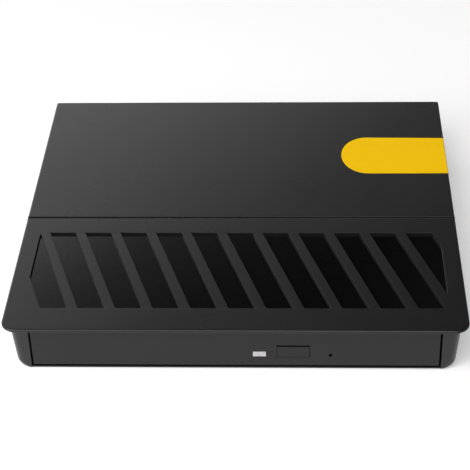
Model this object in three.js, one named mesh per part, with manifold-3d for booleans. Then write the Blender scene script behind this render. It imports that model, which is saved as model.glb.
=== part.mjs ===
// External slim optical drive: a two-part plastic enclosure with a pull-out disc tray inside.
// Millimetres, +Z up. X runs to the right, the tray opens towards -Y, and the feet stand on z = 0.
import * as THREE from 'three';
import { mergeVertices } from 'three/addons/utils/BufferGeometryUtils.js';
import Module from 'manifold-3d';

const wasm = await Module();
wasm.setup();

// ---------------------------------------------------------------- driving dimensions
const DEG = Math.PI / 180;

const LID = {
  halfWidth: 72.5, front: -68.5, rear: 68.5, top: 17.9,
  rimThickness: 1.0, plateThickness: 1.6, frontRadius: 5, rearRadius: 0.8, edgeChamfer: 0.3,
};
const FRONT_OVERHANG = 2.8;
const SIDE_OVERHANG = 2.2;
const TUB = {
  halfWidth: LID.halfWidth - SIDE_OVERHANG, front: LID.front + FRONT_OVERHANG, rear: 68.1,
  bottom: 0.45, top: 16.8, wall: 1.8, floorTop: 2.4,
  draft: 5 * DEG, cornerRadius: 3.0, rearCornerRadius: 3.5, edgeRadius: 2.6, rearEdgeRadius: 2,
};
const GROOVE = { y: -8.0, width: 0.9, depth: 0.5 };
const WINDOW = {
  halfWidth: 66.75, front: -57.3, rear: -16.8, depth: 0.8,
  frontCutY: -41.7, frontCutX: 5.4, rearCutY: -24.6, rearCutX: 2.7,
};
const RIB = { count: 11, width: 3.32, pitch: 11.87, firstRearX: -65.14, slant: 14.0 / 40.5 };
// The plate under the rim that drops into the tub, the strip over the bezel, and the gloss panel.
const LID_PLATE = { halfWidth: 67.5, front: -63.5, rear: 65.9 };
const APRON = { halfWidth: 63.9, front: -65.2, rear: -63.4, gap: 0.1 };
const SKIRT = { front: -12, bottom: 13.9, thickness: 1.2 };
const PANEL = { halfWidth: 67.6, front: -58.5, rear: -15.6, thickness: 0.7, clearance: 0.05 };
const PANEL_POCKET_GAP = { side: 0.6, ends: 0.3 };
const ACCENT = { front: 19.1, rear: 42.7, tipX: 35.1, endRadiusX: 9.3, depth: 0.5, gap: 0.06 };

const BEZEL = {
  halfWidth: 63.75, front: TUB.front, thickness: 1.6, depth: 3.1, bottom: 1.75, top: 15.0, lip: 1.2,
};
const OPENING_HALF_WIDTH = 64.3;
const MOUTH_BOTTOM = 0.95;
const LIP_SET_BACK = 0.25;
const FRONT_CHAMFER = 0.2;
const BUTTON = {
  x: 18.2, width: 10.2, bottom: 5.1, top: 9.15, recess: 0.05, capThickness: 0.8,
  gapLeft: 0.06, gapRight: 0.15, gapBottom: 0.06, gapTop: 0.7,
};
const LED = { x: 7.7, z: 6.25, width: 4.1, height: 1.95 };
const PINHOLE = { x: 29.9, z: 5.85, radius: 0.6 };

const CHASSIS = { halfWidth: 64, front: -61.4, rear: 63.6, bottom: 2.5, top: 14.3, sheet: 0.8 };
const CATCH_POST = { x: 54, y: -42, radius: 1.2, top: 5.5 };
const BOARD = { bottom: 4.2, top: 5.0 };
const NOTCH = { right: -42, front: 50 };
const COVER = { bottom: 14.4, top: 15.0, flange: 0.5 };

const TRAY = {
  halfWidth: 59.5, front: -62.0, rear: 62.0, bottom: 4.4, top: 13.4,
  floorBottom: 9.0, floorTop: 10.2, smallWellTop: 9.8, sideWall: 2.2, frontWall: 1.4,
  deepRear: 28, rearUnderside: 7.2,
};
const DISC_WELL_RADIUS = 60.8;
const SMALL_WELL_RADIUS = 41.5;
const SPINDLE_Y = 0.6;
const TRAVERSE_ANGLE = -45 * DEG;
const RAIL = { inner: 59.9, outer: 61.6, bottom: 5.1, top: 8.9, front: -60, gap: 0.3 };
const GUIDE = { inner: 60.2, outer: 62.9, bottom: 4.1, top: 9.9, lip: 0.7, front: -58 };

const SLED = { restRadius: 24, rodX: 17, rodRadius: 1.1, rodZ: 6.9 };
const SCREW_X = 22;
const FLEX = { left: 34, right: 50, sheet: 0.15 };
const USB = { x: -55, width: 8.94, height: 3.26, bottom: 5.1, front: 60.4, rear: 67.7, radius: 1.3 };
const FEET = { x: 56, frontY: -52, rearY: 54, radius: 4.5, recess: 0.55 };
const CASE_SCREWS = { x: 55, frontY: -30, rearY: 30 };

// ---------------------------------------------------------------- materials
function finish(color, roughness, metalness) {
  return new THREE.MeshStandardMaterial({ color, roughness, metalness });
}

const MATTE_BLACK = finish(0x3a3a3a, 0.6, 0);
const GLOSS_BLACK = finish(0x0c0c0d, 0.15, 0);
const YELLOW = finish(0xffcc00, 0.45, 0);
const DARK_GREY = finish(0x3b393a, 0.45, 0);
const LED_WHITE = finish(0xd8d6d8, 0.35, 0);
const RUBBER = finish(0x161616, 0.9, 0);
const TRAY_BLACK = finish(0x1c1c1e, 0.5, 0);
const WHITE_PLASTIC = finish(0xe6e4de, 0.45, 0);
const STEEL = finish(0xb4b6b8, 0.35, 1);
const ZINC_SHEET = finish(0xa2a6aa, 0.42, 1);
const BRASS = finish(0xb8923f, 0.35, 1);
const BOARD_GREEN = finish(0x1e5a34, 0.5, 0);
const CHIP_BLACK = finish(0x17181a, 0.4, 0);
const FLEX_AMBER = finish(0xc98a2e, 0.4, 0);
const LENS_GLASS = finish(0x6a7fa8, 0.05, 0);

// ---------------------------------------------------------------- solids
function solid(geometry) {
  const bare = geometry.index ? geometry.clone() : geometry;
  bare.deleteAttribute('normal');
  bare.deleteAttribute('uv');
  const merged = mergeVertices(bare, 1e-4);
  const mesh = new wasm.Mesh({
    numProp: 3,
    vertProperties: new Float32Array(merged.attributes.position.array),
    triVerts: new Uint32Array(merged.index.array),
  });
  return new wasm.Manifold(mesh);
}

function geometryOf(body) {
  const mesh = body.getMesh();
  const geometry = new THREE.BufferGeometry();
  geometry.setAttribute('position', new THREE.BufferAttribute(mesh.vertProperties, 3));
  geometry.setIndex(new THREE.BufferAttribute(mesh.triVerts, 1));
  geometry.computeVertexNormals();
  return geometry;
}

function block(x0, x1, y0, y1, z0, z1) {
  const geometry = new THREE.BoxGeometry(x1 - x0, y1 - y0, z1 - z0);
  return solid(geometry.translate((x0 + x1) / 2, (y0 + y1) / 2, (z0 + z1) / 2));
}

function prism(shape, z0, z1, curveSegments = 8) {
  const settings = { depth: z1 - z0, bevelEnabled: false, curveSegments };
  return solid(new THREE.ExtrudeGeometry(shape, settings).translate(0, 0, z0));
}

// A shape drawn in (x, z) and run along Y.
function prismAlongY(shape, y0, y1, curveSegments = 8) {
  const settings = { depth: y1 - y0, bevelEnabled: false, curveSegments };
  const geometry = new THREE.ExtrudeGeometry(shape, settings);
  return solid(geometry.rotateX(Math.PI / 2).translate(0, y1, 0));
}

// A shape drawn in (y, z) and run along X.
function prismAlongX(shape, x0, x1, curveSegments = 8) {
  const settings = { depth: x1 - x0, bevelEnabled: false, curveSegments };
  const geometry = new THREE.ExtrudeGeometry(shape, settings);
  return solid(geometry.rotateX(Math.PI / 2).rotateZ(Math.PI / 2).translate(x0, 0, 0));
}

function cylinder(radius, z0, z1, x = 0, y = 0, sides = 24) {
  const geometry = new THREE.CylinderGeometry(radius, radius, z1 - z0, sides);
  return solid(geometry.rotateX(Math.PI / 2).translate(x, y, (z0 + z1) / 2));
}

function rodAlongY(radius, y0, y1, x, z, sides = 16) {
  const geometry = new THREE.CylinderGeometry(radius, radius, y1 - y0, sides);
  return solid(geometry.translate(x, (y0 + y1) / 2, z));
}

// A turned piece: [radius, z] pairs from the axis back to the axis, bottom first.
function turned(profile, sides = 32) {
  const points = profile.map(([radius, z]) => new THREE.Vector2(radius, z));
  return solid(new THREE.LatheGeometry(points, sides).rotateX(Math.PI / 2));
}

function polygon(points) {
  return new THREE.Shape(points.map(([x, y]) => new THREE.Vector2(x, y)));
}

function outline(halfWidth, front, rear, frontRadius, rearRadius) {
  const shape = new THREE.Shape();
  shape.moveTo(-halfWidth + frontRadius, front);
  shape.absarc(halfWidth - frontRadius, front + frontRadius, frontRadius, -90 * DEG, 0);
  shape.absarc(halfWidth - rearRadius, rear - rearRadius, rearRadius, 0, 90 * DEG);
  shape.absarc(-halfWidth + rearRadius, rear - rearRadius, rearRadius, 90 * DEG, 180 * DEG);
  shape.absarc(-halfWidth + frontRadius, front + frontRadius, frontRadius, 180 * DEG, 270 * DEG);
  return shape;
}

function roundedBox(width, height, radius) {
  return outline(width / 2, -height / 2, height / 2, radius, radius);
}

// ---------------------------------------------------------------- scene graph helpers
const optical_drive = new THREE.Group();
const traverse = new THREE.Group();
traverse.position.set(0, SPINDLE_Y, 0);
traverse.rotation.z = TRAVERSE_ANGLE;
optical_drive.add(traverse);

function place(name, body, material, parent = optical_drive) {
  const mesh = new THREE.Mesh(geometryOf(body), material);
  mesh.name = name;
  parent.add(mesh);
}

// A solid drawn in the traverse's own axes, turned into the drive's axes.
function fromTraverse(body) {
  const geometry = geometryOf(body).rotateZ(TRAVERSE_ANGLE).translate(0, SPINDLE_Y, 0);
  return solid(geometry);
}

// ---------------------------------------------------------------- lid
function lidOutline(inset) {
  const { halfWidth, front, rear, frontRadius, rearRadius } = LID;
  return outline(halfWidth - inset, front + inset, rear - inset,
    Math.max(frontRadius - inset, 0.2), Math.max(rearRadius - inset, 0.2));
}

function rimSolid() {
  const chamfer = LID.edgeChamfer;
  const settings = {
    depth: LID.rimThickness - 2 * chamfer, curveSegments: 8, bevelEnabled: true,
    bevelThickness: chamfer, bevelSize: chamfer, bevelSegments: 1,
  };
  const geometry = new THREE.ExtrudeGeometry(lidOutline(chamfer), settings);
  return solid(geometry.translate(0, 0, LID.top - LID.rimThickness + chamfer));
}

function windowSolid(bottom) {
  const { halfWidth, front, rear, frontCutX, frontCutY, rearCutX, rearCutY } = WINDOW;
  const shape = polygon([
    [-halfWidth + frontCutX, front], [halfWidth, front], [halfWidth, rearCutY],
    [halfWidth - rearCutX, rear], [-halfWidth, rear], [-halfWidth, frontCutY],
  ]);
  return prism(shape, bottom, LID.top + 1);
}

function ribSolid(index) {
  const margin = 1;
  const rearX = RIB.firstRearX + index * RIB.pitch;
  const depth = WINDOW.rear - WINDOW.front;
  const frontX = rearX + RIB.slant * (depth + margin);
  const backX = rearX - RIB.slant * margin;
  const half = RIB.width / 2;
  const shape = polygon([
    [frontX - half, WINDOW.front - margin], [frontX + half, WINDOW.front - margin],
    [backX + half, WINDOW.rear + margin], [backX - half, WINDOW.rear + margin],
  ]);
  return prism(shape, LID.top - LID.plateThickness - 1, LID.top + 2);
}

// The twelve slanted openings between the ribs.
function slotSolid() {
  let slots = windowSolid(LID.top - LID.plateThickness - 0.5);
  for (let index = 0; index < RIB.count; index += 1) {
    slots = slots.subtract(ribSolid(index));
  }
  return slots;
}

function accentShape(gap) {
  const { front, rear, tipX, endRadiusX } = ACCENT;
  const middle = (front + rear) / 2;
  const shape = new THREE.Shape();
  shape.moveTo(LID.halfWidth + 2, front - gap);
  shape.lineTo(LID.halfWidth + 2, rear + gap);
  shape.lineTo(tipX + endRadiusX, rear + gap);
  shape.absellipse(tipX + endRadiusX, middle, endRadiusX + gap, (rear - front) / 2 + gap,
    90 * DEG, 270 * DEG, false, 0);
  return shape;
}

// A U-shaped wall under the lid, open to the front, that locates it inside the tub.
function skirtSolid() {
  const { front, bottom, thickness } = SKIRT;
  const { halfWidth, rear } = LID_PLATE;
  const top = LID.top - LID.plateThickness + 0.1;
  const outer = prism(outline(halfWidth, front, rear, 1, 2.5), bottom, top);
  const inside = outline(halfWidth - thickness, front - 8, rear - thickness, 1, 1.5);
  return outer.subtract(prism(inside, bottom - 1, top + 1));
}

function makeLid() {
  const underside = LID.top - LID.plateThickness;
  const rimBottom = LID.top - LID.rimThickness;
  const weld = rimBottom + 0.2;
  const plate = prism(outline(LID_PLATE.halfWidth, LID_PLATE.front, LID_PLATE.rear, 3, 2.5), underside, weld);
  const frontApron = block(-APRON.halfWidth, APRON.halfWidth, APRON.front, APRON.rear,
    BEZEL.top + APRON.gap, weld);
  const pocketHalf = PANEL.halfWidth + PANEL_POCKET_GAP.side;
  const panelPocket = block(-pocketHalf, pocketHalf, PANEL.front - PANEL_POCKET_GAP.ends,
    PANEL.rear + PANEL_POCKET_GAP.ends, underside - 0.5, LID.top - WINDOW.depth);
  const groove = block(-80, 80, GROOVE.y - GROOVE.width / 2, GROOVE.y + GROOVE.width / 2,
    LID.top - GROOVE.depth, LID.top + 1);
  const accentPocket = prism(accentShape(ACCENT.gap), LID.top - ACCENT.depth, LID.top + 1, 20);
  return rimSolid().add(plate).add(frontApron).add(skirtSolid())
    .subtract(panelPocket).subtract(slotSolid()).subtract(groove).subtract(accentPocket);
}

function makeGrillePanel() {
  const { halfWidth, front, rear, thickness, clearance } = PANEL;
  const top = LID.top - WINDOW.depth - clearance;
  return prism(outline(halfWidth, front, rear, 0.6, 0.6), top - thickness, top, 3);
}

function makeAccent() {
  const body = prism(accentShape(0), LID.top - ACCENT.depth + 0.05, LID.top + 1, 20);
  return rimSolid().intersect(body);
}

// ---------------------------------------------------------------- bottom shell
// Narrows a solid towards the bottom, so that its side walls lean by the draft angle.
function withDraft(body, halfWidth) {
  const geometry = geometryOf(body);
  const position = geometry.attributes.position;
  for (let index = 0; index < position.count; index += 1) {
    const inset = (TUB.top - position.getZ(index)) * Math.tan(TUB.draft);
    position.setX(index, position.getX(index) * (halfWidth - inset) / halfWidth);
  }
  return solid(geometry);
}

// The cross-section from the front, with rounded bottom edges and an open top.
function tubSection(halfWidth, bottom, top, radius) {
  const lean = (TUB.top - bottom) * Math.tan(TUB.draft);
  const side = halfWidth - lean;
  const shape = new THREE.Shape();
  shape.moveTo(-side + radius, bottom);
  shape.absarc(side - radius, bottom + radius, radius, -90 * DEG, -TUB.draft);
  const topHalf = halfWidth + (top - TUB.top) * Math.tan(TUB.draft);
  shape.lineTo(topHalf, top);
  shape.lineTo(-topHalf, top);
  shape.absarc(-side + radius, bottom + radius, radius, 180 * DEG + TUB.draft, 270 * DEG);
  return shape;
}

function tubOuter() {
  const { halfWidth, front, rear, bottom, top, cornerRadius, rearCornerRadius } = TUB;
  const { edgeRadius, rearEdgeRadius } = TUB;
  const plan = prism(outline(halfWidth, front, rear, cornerRadius, rearCornerRadius), bottom, top, 6);
  const section = prismAlongY(tubSection(halfWidth, bottom, top, edgeRadius), front - 1, rear + 1, 6);
  const side = new THREE.Shape();
  side.moveTo(front, top + 1);
  side.lineTo(front, bottom + FRONT_CHAMFER);
  side.lineTo(front + FRONT_CHAMFER, bottom);
  side.absarc(rear - rearEdgeRadius, bottom + rearEdgeRadius, rearEdgeRadius, -90 * DEG, 0);
  side.lineTo(rear, top + 1);
  return withDraft(plan, halfWidth).intersect(section).intersect(prismAlongX(side, -80, 80, 4));
}

function tubInner() {
  const { front, rear, wall, floorTop, top, cornerRadius, rearCornerRadius } = TUB;
  const halfWidth = TUB.halfWidth - wall;
  const inside = outline(halfWidth, front + wall, rear - wall, cornerRadius - wall, rearCornerRadius - wall);
  const plan = prism(inside, floorTop, top + 1, 4);
  const section = prismAlongY(tubSection(halfWidth, floorTop, top + 2, 1.4), front, rear, 3);
  return withDraft(plan, halfWidth).intersect(section);
}

function cornerPlaces({ x, frontY, rearY }) {
  return {
    front_left: [-x, frontY],
    front_right: [x, frontY],
    rear_left: [-x, rearY],
    rear_right: [x, rearY],
  };
}

function screwPlaces() {
  return cornerPlaces(CASE_SCREWS);
}

function footPlaces() {
  return cornerPlaces(FEET);
}

function makeBottomShell() {
  const trayMouth = block(-OPENING_HALF_WIDTH, OPENING_HALF_WIDTH, -70, -60, MOUTH_BOTTOM, 20);
  const lipSetBack = block(-OPENING_HALF_WIDTH, OPENING_HALF_WIDTH, -70, TUB.front + LIP_SET_BACK, 0, 5);
  const port = prismAlongY(roundedBox(USB.width + 0.7, USB.height + 0.7, USB.radius + 0.3), 65, 70, 4)
    .translate([USB.x, 0, USB.bottom + USB.height / 2]);
  let shell = tubOuter().subtract(tubInner()).subtract(trayMouth).subtract(lipSetBack).subtract(port);
  for (const x of [-62, -50]) {
    shell = shell.add(block(x, x + 1.6, 52, 67, TUB.floorTop - 0.2, 4.1));
  }
  for (const [x, y] of Object.values(footPlaces())) {
    shell = shell.subtract(cylinder(FEET.radius + 0.15, 0, TUB.bottom + FEET.recess, x, y));
  }
  for (const [x, y] of Object.values(screwPlaces())) {
    shell = shell.subtract(cylinder(2.2, 0, 1.8, x, y, 16)).subtract(cylinder(1.2, 0, 4, x, y, 12));
  }
  return shell;
}

function makeFoot() {
  const { radius, recess } = FEET;
  return turned([[0, 0], [radius - 0.5, 0], [radius, 0.4], [radius, TUB.bottom + recess - 0.05],
    [0, TUB.bottom + recess - 0.05]], 24);
}

function makeCaseScrew() {
  const head = turned([[0, 1.1], [1.6, 1.1], [1.9, 1.3], [1.9, 1.75], [0.9, 1.75], [0.9, 3.4],
    [0.6, 3.6], [0, 3.6]], 16);
  const crossA = block(-1.0, 1.0, -0.22, 0.22, 0.9, 1.5);
  const crossB = block(-0.22, 0.22, -1.0, 1.0, 0.9, 1.5);
  return head.subtract(crossA).subtract(crossB);
}

// ---------------------------------------------------------------- drive chassis
function chassisPlan(inset) {
  const { halfWidth, front, rear } = CHASSIS;
  const x = halfWidth - inset;
  const y = rear - inset;
  return polygon([[-x, front], [x, front], [x, y], [NOTCH.right + inset, y],
    [NOTCH.right + inset, NOTCH.front - inset], [-x, NOTCH.front - inset]]);
}

function makeChassis() {
  const { bottom, top, sheet, halfWidth, front } = CHASSIS;
  const outer = prism(chassisPlan(0), bottom, top);
  const inner = prism(chassisPlan(sheet), bottom + sheet, top + 1);
  const mouth = block(-halfWidth + sheet, halfWidth - sheet, front - 1, front + 2, bottom + sheet, 20);
  const linkWindow = block(-43, -41, 53.4, 60.6, 3.7, 7.2);
  let body = outer.subtract(inner).subtract(mouth).subtract(linkWindow);
  for (const [x, y] of [[-36, 38], [-36, 58], [53, 38], [53, 58]]) {
    body = body.add(cylinder(2, bottom + 0.4, 4.1, x, y, 12));
  }
  const { x: postX, y: postY, radius: postRadius, top: postTop } = CATCH_POST;
  body = body.add(cylinder(postRadius, bottom + 0.4, postTop, postX, postY, 12));
  for (const [x, y] of Object.values(screwPlaces())) {
    body = body.subtract(cylinder(1.2, 2, 4, x, y, 12));
  }
  return body;
}

function makeCover() {
  const { bottom, top, flange } = COVER;
  const outer = CHASSIS.halfWidth + 0.15 + flange;
  const notchX = NOTCH.right;
  const sheet = prism(polygon([[-outer, CHASSIS.front], [outer, CHASSIS.front],
    [outer, CHASSIS.rear], [notchX, CHASSIS.rear], [notchX, NOTCH.front], [-outer, NOTCH.front]]),
  bottom, top);
  const right = block(outer - flange, outer, -58, 60, 10.5, bottom + 0.1);
  const left = block(-outer, -outer + flange, -58, 48, 10.5, bottom + 0.1);
  const dome = turned([[0, top - 0.1], [45, top - 0.1], [45, top], [44.4, top + 0.3], [0, top + 0.3]], 40);
  return sheet.add(right).add(left).add(dome);
}

// ---------------------------------------------------------------- runners
function makeGuide(side, rear) {
  const { inner, outer, bottom, top, lip, front } = GUIDE;
  const bar = block(inner, outer, front, rear, bottom, top);
  const channel = block(inner - 1, outer - 1, front - 1, rear + 1, bottom + lip, top - lip);
  return bar.subtract(channel).scale([side, 1, 1]);
}

function makeSlideRail(side, rear) {
  const { inner, outer, bottom, top, front } = RAIL;
  const bar = block(inner, outer, front, rear, bottom, top);
  const tongue = block(58.2, inner + 0.5, front, rear, 6.2, 7.4);
  return bar.add(tongue).scale([side, 1, 1]);
}

// ---------------------------------------------------------------- tray
function keyhole(radius, halfWidth, end) {
  const slot = block(-halfWidth, halfWidth, end, 0, 0, 20);
  return cylinder(radius, 0, 20, 0, 0, 48).add(slot);
}

function trayCavity() {
  const { halfWidth, front, rear, bottom, floorBottom, sideWall, frontWall, deepRear, rearUnderside } = TRAY;
  const inner = halfWidth - sideWall;
  const main = block(-inner, inner, front + frontWall, rear - 1.6, bottom - 1, floorBottom);
  const rearGap = block(-inner, inner, deepRear, rear + 1, bottom - 1, rearUnderside);
  return main.add(rearGap);
}

function traySideGrooves() {
  const { halfWidth, front, rear } = TRAY;
  const depth = halfWidth - RAIL.gap - 57.6;
  const right = block(halfWidth - depth - 0.05, halfWidth + 1, front - 1, rear + 1, 5.8, 7.8);
  return right.add(right.mirror([1, 0, 0]));
}

function makeTray() {
  const { halfWidth, front, rear, bottom, top, floorTop, smallWellTop } = TRAY;
  const body = prism(outline(halfWidth, front, rear, 0.6, 6), bottom, top, 4);
  const well = cylinder(DISC_WELL_RADIUS, floorTop, top + 1, 0, SPINDLE_Y, 96);
  const smallWell = cylinder(SMALL_WELL_RADIUS, smallWellTop, top + 1, 0, SPINDLE_Y, 64);
  const mechanismOpening = fromTraverse(keyhole(19, 12.4, -62.9).intersect(block(-40, 40, -80, 40, 8, 10.4)));
  const cornerCut = block(-70, NOTCH.right + 1.2, NOTCH.front - 1.2, 70, 0, 20);
  const pinPath = rodAlongY(1, front - 1, front + 3, PINHOLE.x, PINHOLE.z, 12);
  const buttonGap = block(BUTTON.x - 6, BUTTON.x + 6, front - 1, front + 3, 3, 8.6);
  const ledGap = block(LED.x - 2.6, LED.x + 2.6, front - 1, front + 3, 4.9, 7.8);
  const hub = cylinder(1, 5.0, TRAY.floorBottom + 0.3, 51.5, -54.5, 12);
  return body.subtract(well).subtract(smallWell).subtract(trayCavity()).subtract(mechanismOpening)
    .subtract(cornerCut).subtract(traySideGrooves()).subtract(pinPath).subtract(buttonGap)
    .subtract(ledGap).add(hub);
}

function makeBezel() {
  const { halfWidth, front, thickness, depth, bottom, top, lip } = BEZEL;
  const shape = roundedBox(2 * halfWidth, top - bottom, 0.5);
  const middle = (top + bottom) / 2;
  const face = prismAlongY(shape, front, front + depth, 3).translate([0, 0, middle]);
  const hollow = block(-halfWidth + lip, halfWidth - lip, front + thickness, front + depth + 1,
    bottom + lip, top - lip);
  const buttonLeft = BUTTON.x - BUTTON.width / 2 - BUTTON.gapLeft;
  const buttonRight = BUTTON.x + BUTTON.width / 2 + BUTTON.gapRight;
  const buttonHole = block(buttonLeft, buttonRight, front - 1, front + 5,
    BUTTON.bottom - BUTTON.gapBottom, BUTTON.top + BUTTON.gapTop);
  const ledHole = block(LED.x - LED.width / 2 - 0.1, LED.x + LED.width / 2 + 0.1, front - 1, front + 5,
    LED.z - LED.height / 2 - 0.1, LED.z + LED.height / 2 + 0.1);
  const pinhole = rodAlongY(PINHOLE.radius, front - 1, front + 5, PINHOLE.x, PINHOLE.z, 16);
  return face.subtract(hollow).subtract(buttonHole).subtract(ledHole).subtract(pinhole);
}

function makeEjectButton() {
  const { x, width, bottom, top, recess, capThickness } = BUTTON;
  const front = BEZEL.front + recess;
  const cap = block(x - width / 2, x + width / 2, front, front + capThickness, bottom, top);
  const web = block(x - width / 2 + 1, x + width / 2 - 1, front + 0.5, BEZEL.front + 2.2, bottom, 7.6);
  const flange = block(x - width / 2 - 1.2, x + width / 2 + 1.2, BEZEL.front + 1.9, BEZEL.front + 2.6,
    bottom - 0.2, 7.8);
  const stem = block(x - 1.2, x + 1.2, BEZEL.front + 2.4, BEZEL.front + 3.6, 6.0, 7.6);
  return cap.add(web).add(flange).add(stem);
}

function makeLightPipe() {
  const { x, z, width, height } = LED;
  const window = block(x - width / 2, x + width / 2, BEZEL.front + 0.05, BEZEL.front + 1.8,
    z - height / 2, z + height / 2);
  const flange = block(x - width / 2 - 0.6, x + width / 2 + 0.6, BEZEL.front + 1.65, BEZEL.front + 2.3,
    z - height / 2 - 0.4, z + height / 2 + 0.4);
  const guide = block(x - 1, x + 1, BEZEL.front + 2.2, BEZEL.front + 6.2, z - 0.6, z + 0.6);
  return window.add(flange).add(guide);
}

function makeTrayBottomCover() {
  const main = block(-57, 31.5, -60, 27.5, 3.9, 4.3);
  const frontStrip = block(31, 57, -60, -48, 3.9, 4.3);
  return main.add(frontStrip);
}

// ---------------------------------------------------------------- traverse (disc motor and pickup)
function makeTraversePlate() {
  const plate = block(-24.5, 24.5, -63.5, 16.5, 4.9, 5.6);
  const window = block(-14, 14, -62, -15, 4, 7);
  const motorWindow = block(SCREW_X - 2.8, SCREW_X + 4, -5.8, 6.8, 4, 7);
  let body = plate.subtract(window).subtract(motorWindow);
  for (const x of [-SLED.rodX, SLED.rodX]) {
    for (const y of [-61.3, -14.5]) {
      const clamp = block(x - 2.6, x + 2.6, y, y + 2.2, 5.4, 8.7);
      body = body.add(clamp.subtract(rodAlongY(SLED.rodRadius + 0.3, y - 1, y + 4, x, SLED.rodZ, 16)));
    }
  }
  const trayInside = geometryOf(block(-56.8, 56.8, -59.8, 27.2, 0, 20))
    .translate(0, -SPINDLE_Y, 0).rotateZ(-TRAVERSE_ANGLE);
  const screwBearing = block(SCREW_X - 1.9, SCREW_X + 1.9, -58.6, -57.2, 5.4, 8.7)
    .subtract(rodAlongY(0.9, -60, -56, SCREW_X, SLED.rodZ, 12));
  return body.add(screwBearing).intersect(solid(trayInside));
}

function makeTraverseCover() {
  const sheet = keyhole(18.6, 12.0, -62.5).intersect(block(-40, 40, -80, 40, 9.3, 9.7));
  const hubHole = cylinder(13.6, 9, 10, 0, 0, 40);
  const lensSlot = block(-6, 6, -60.7, -8, 9, 10);
  return sheet.subtract(hubHole).subtract(lensSlot);
}

function makeMotorBase() {
  return turned([[0, 5.9], [12.6, 5.9], [12.6, 6.7], [5.5, 6.7], [5.5, 7.0], [0, 7.0]], 32);
}

function clawSlot() {
  return block(4.9, 9.5, -1.3, 1.3, 11.5, 12.7);
}

function makeTurntable() {
  let body = turned([[0, 7.3], [12.8, 7.3], [12.8, 9.9], [15, 9.9], [15, 10.6], [14.8, 10.9], [7.45, 10.9],
    [7.45, 12.3], [6.2, 13.1], [0, 13.1]], 48);
  for (const angle of [90, 210, 330]) {
    body = body.subtract(clawSlot().rotate([0, 0, angle]));
  }
  const ringSeat = cylinder(14.5, 10.75, 12, 0, 0, 48).subtract(cylinder(11.4, 10, 13, 0, 0, 48));
  return body.subtract(ringSeat);
}

function makeRubberRing() {
  return cylinder(14.35, 10.8, 11.05, 0, 0, 48).subtract(cylinder(11.55, 10, 13, 0, 0, 48));
}

function makeHubClaw(angle) {
  const shape = polygon([[6.1, 11.8], [7.7, 11.8], [8.0, 12.0], [7.6, 12.4], [6.1, 12.4]]);
  const claw = prismAlongY(shape, -1.0, 1.0);
  return claw.rotate([0, 0, angle]);
}

function makeRod(x) {
  return rodAlongY(SLED.rodRadius, -61.3, -12.3, x, SLED.rodZ);
}

function makePickupSled() {
  const y = -SLED.restRadius;
  const belly = block(-11, 11, y - 4.5, y + 6.5, 4.6, 6.2);
  const deck = block(-12, 12, y - 7, y + 7, 5.9, 8.6);
  let body = belly.add(deck);
  const arms = block(-19.3, 19.3, y - 1, y + 7, 5.9, 8.8);
  body = body.add(arms);
  for (const x of [-SLED.rodX, SLED.rodX]) {
    body = body.subtract(rodAlongY(SLED.rodRadius + 0.3, y - 9, y + 9, x, SLED.rodZ, 16));
  }
  return body.subtract(block(-5.4, 5.4, y - 4.4, y + 4.4, 7.2, 10));
}

function makeFeedNut() {
  const y = -SLED.restRadius + 3;
  const nut = block(19.6, SCREW_X + 1.6, y - 2, y + 2, 5.9, 8.4);
  return nut.subtract(rodAlongY(1.3, y - 4, y + 4, SCREW_X, SLED.rodZ, 16))
    .subtract(block(SCREW_X - 0.2, SCREW_X + 3, y - 4, y + 4, SLED.rodZ - 1.3, SLED.rodZ + 1.3));
}

function makeLensHolder() {
  const y = -SLED.restRadius;
  const body = block(-4.2, 4.2, y - 3, y + 3, 7.8, 9.2);
  return body.subtract(cylinder(2.3, 7, 11, 0, y, 20));
}

function makeObjectiveLens() {
  const profile = [[0, 8.1], [1.9, 8.1], [2.05, 8.3], [2.05, 9.0], [1.7, 9.3], [0.9, 9.5], [0, 9.55]];
  const lens = turned(profile, 20);
  return lens.translate([0, -SLED.restRadius, 0]);
}

function makeLeadscrew() {
  return rodAlongY(1.0, -56.9, -5.3, SCREW_X, SLED.rodZ, 12)
    .add(rodAlongY(0.55, -58.4, -56.5, SCREW_X, SLED.rodZ, 12));
}

function makeFeedMotor() {
  return rodAlongY(2.35, -5.0, 6.0, SCREW_X, SLED.rodZ - 0.05, 20)
    .intersect(block(SCREW_X - 3, SCREW_X + 3, -10, 10, 4.9, 8.8));
}

// ---------------------------------------------------------------- boards, latch and flat cable
function makeLatchLever() {
  const arm = [[50.4, -56.2], [52.6, -56.2], [52.6, -40.5]];
  const hook = [[55.6, -40.5], [55.6, -39.3], [50.4, -39.3]];
  const shape = polygon([...arm, ...hook]);
  return prism(shape, 6.0, 7.0).add(cylinder(2.1, 6.0, 7.0, 51.5, -54.5, 20))
    .subtract(cylinder(1.3, 5, 8, 51.5, -54.5, 12));
}

function makeLatchSolenoid() {
  const coil = block(37.5, 46.5, -58.5, -49.5, 5.2, 8.6);
  const yoke = block(36, 48, -59.6, -58.3, 4.9, 8.7).add(block(36, 48, -49.7, -48.6, 4.9, 8.7));
  return coil.add(yoke).add(block(46.3, 48.9, -55, -53, 5.9, 7.9));
}

// A flat ribbon that follows (y, z) points, one sheet thick.
function ribbon(points) {
  const half = FLEX.sheet / 2;
  const upper = points.map(([y, z]) => [y, z + half]);
  const lower = points.map(([y, z]) => [y, z - half]).reverse();
  return prismAlongX(polygon([...lower.reverse(), ...upper.reverse()]), FLEX.left, FLEX.right);
}

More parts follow.
